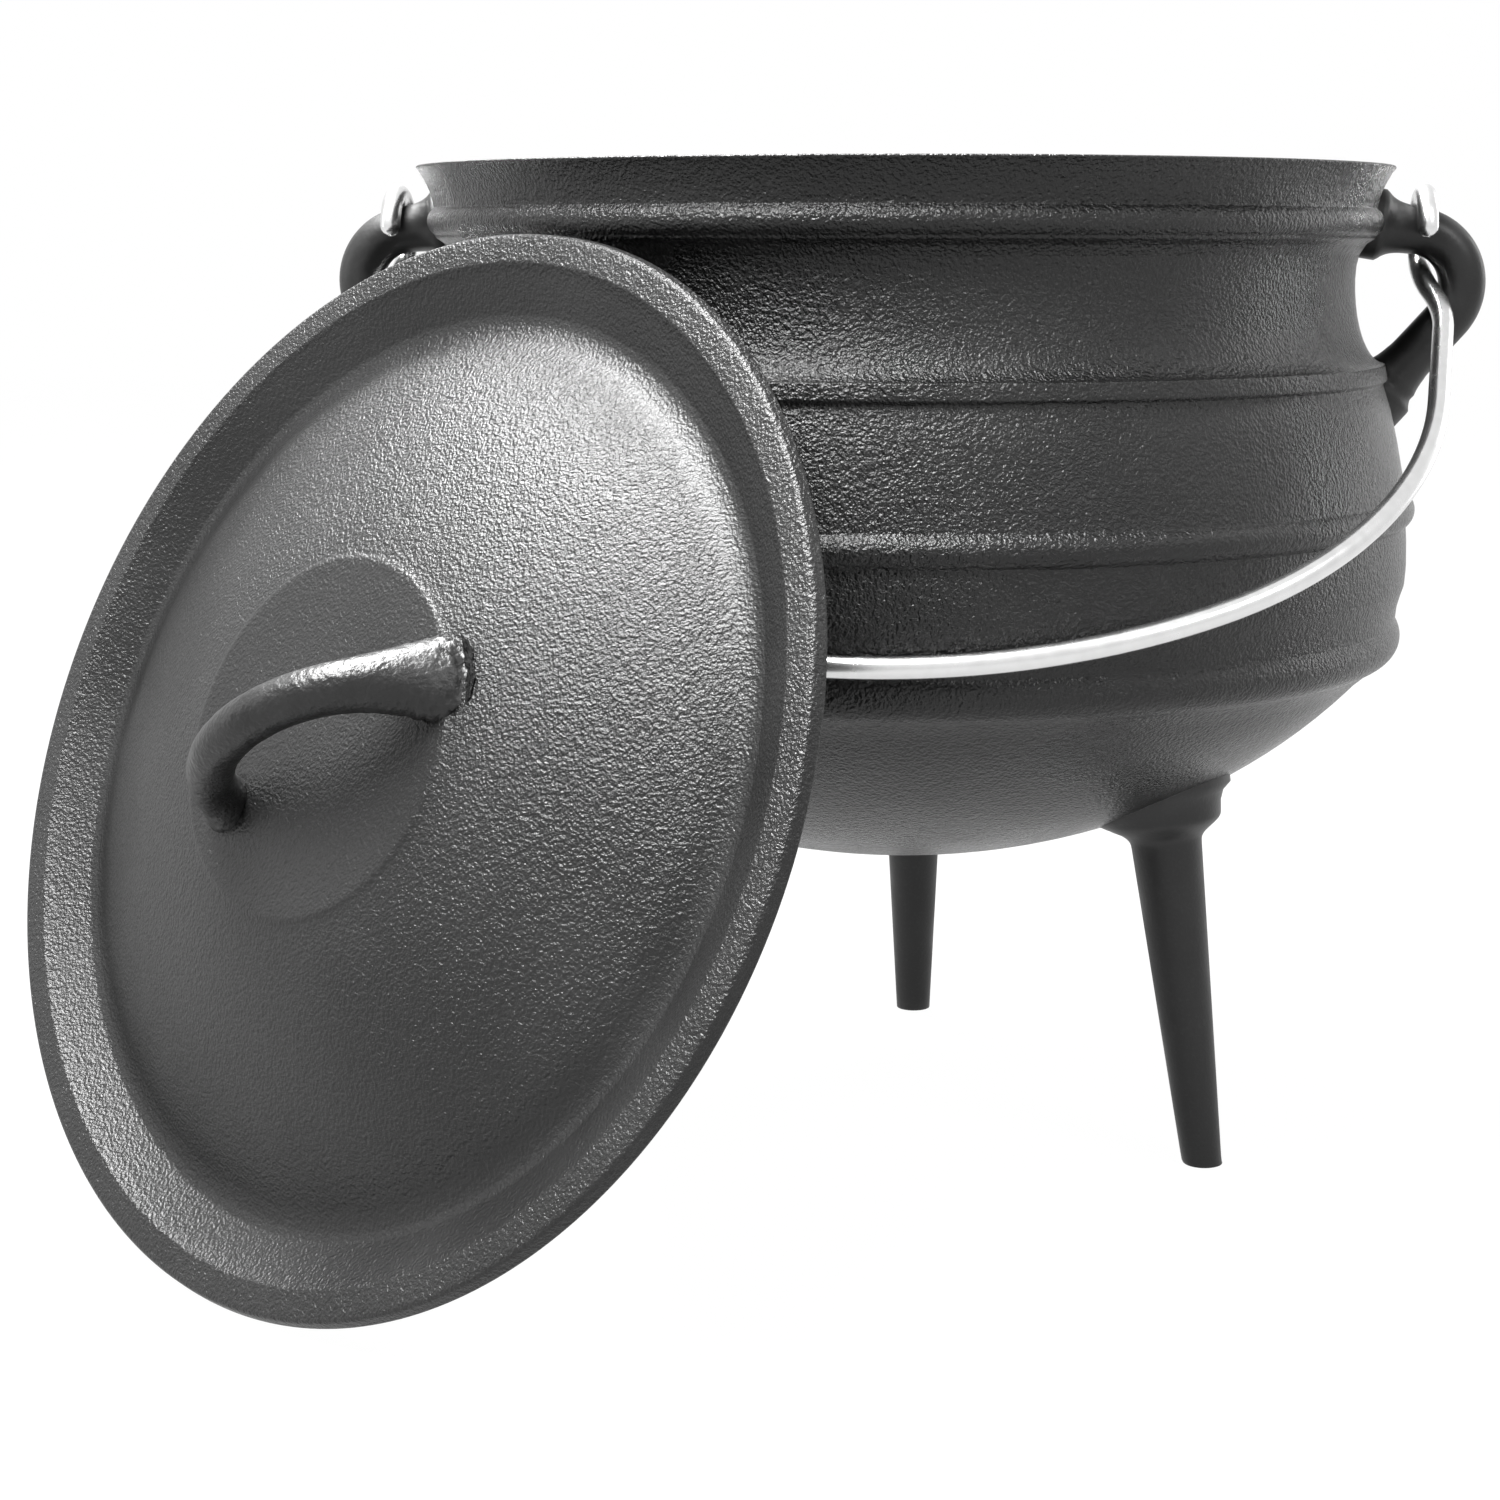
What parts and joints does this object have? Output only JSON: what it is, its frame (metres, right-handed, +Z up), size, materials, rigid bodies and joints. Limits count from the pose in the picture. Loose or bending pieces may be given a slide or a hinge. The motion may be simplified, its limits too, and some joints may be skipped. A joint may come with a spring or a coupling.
{
  "type": "potjie pot",
  "caption": "Round three-legged cast iron cooking pot with a flared lip, rounded beads, a swinging wire bail and a loose domed lid leaning on it.",
  "frame": {"origin": "on the pot's axis at floor level, between the three feet", "axes": "+Z up along the pot's axis, +X to the ear on the right of the picture, +Y to the back, where the third leg is"},
  "size_m": [0.3773, 0.3626, 0.26],
  "materials": {
    "pot_iron": "fine sand-cast grain, seasoned black, satin",
    "leg_iron": "smoother as-cast iron, seasoned black",
    "ear_iron": "smooth as-cast iron, seasoned black",
    "lid_iron": "sand-cast grain, seasoned, satin",
    "grip_iron": "coarse as-cast grain, seasoned black",
    "bail_steel": "bright drawn wire"
  },
  "bodies": {
    "pot": {"pot_body": "pot_iron", "leg_front_right": "leg_iron", "leg_front_left": "leg_iron", "leg_back": "leg_iron", "ear_right": "ear_iron", "ear_left": "ear_iron"},
    "bail": {"bail": "bail_steel"},
    "lid": {"lid_plate": "lid_iron", "lid_handle": "grip_iron"}
  },
  "joints": [
    {"name": "lid_lift_away", "type": "slide", "parent": "pot", "child": "lid", "axis": [-0.5568, -0.7389, 0.3795], "range_m": [0, 0.5]},
    {"name": "bail_swing", "type": "hinge", "parent": "pot", "child": "bail", "pos_m": [0, 0, 0.2429], "axis": [-1, 0, 0], "range_deg": [0, 250]}
  ],
  "couplings": [
    {"joint": "bail_swing", "follows": "lid_lift_away", "rad_per_m": 8.726}
  ]
}
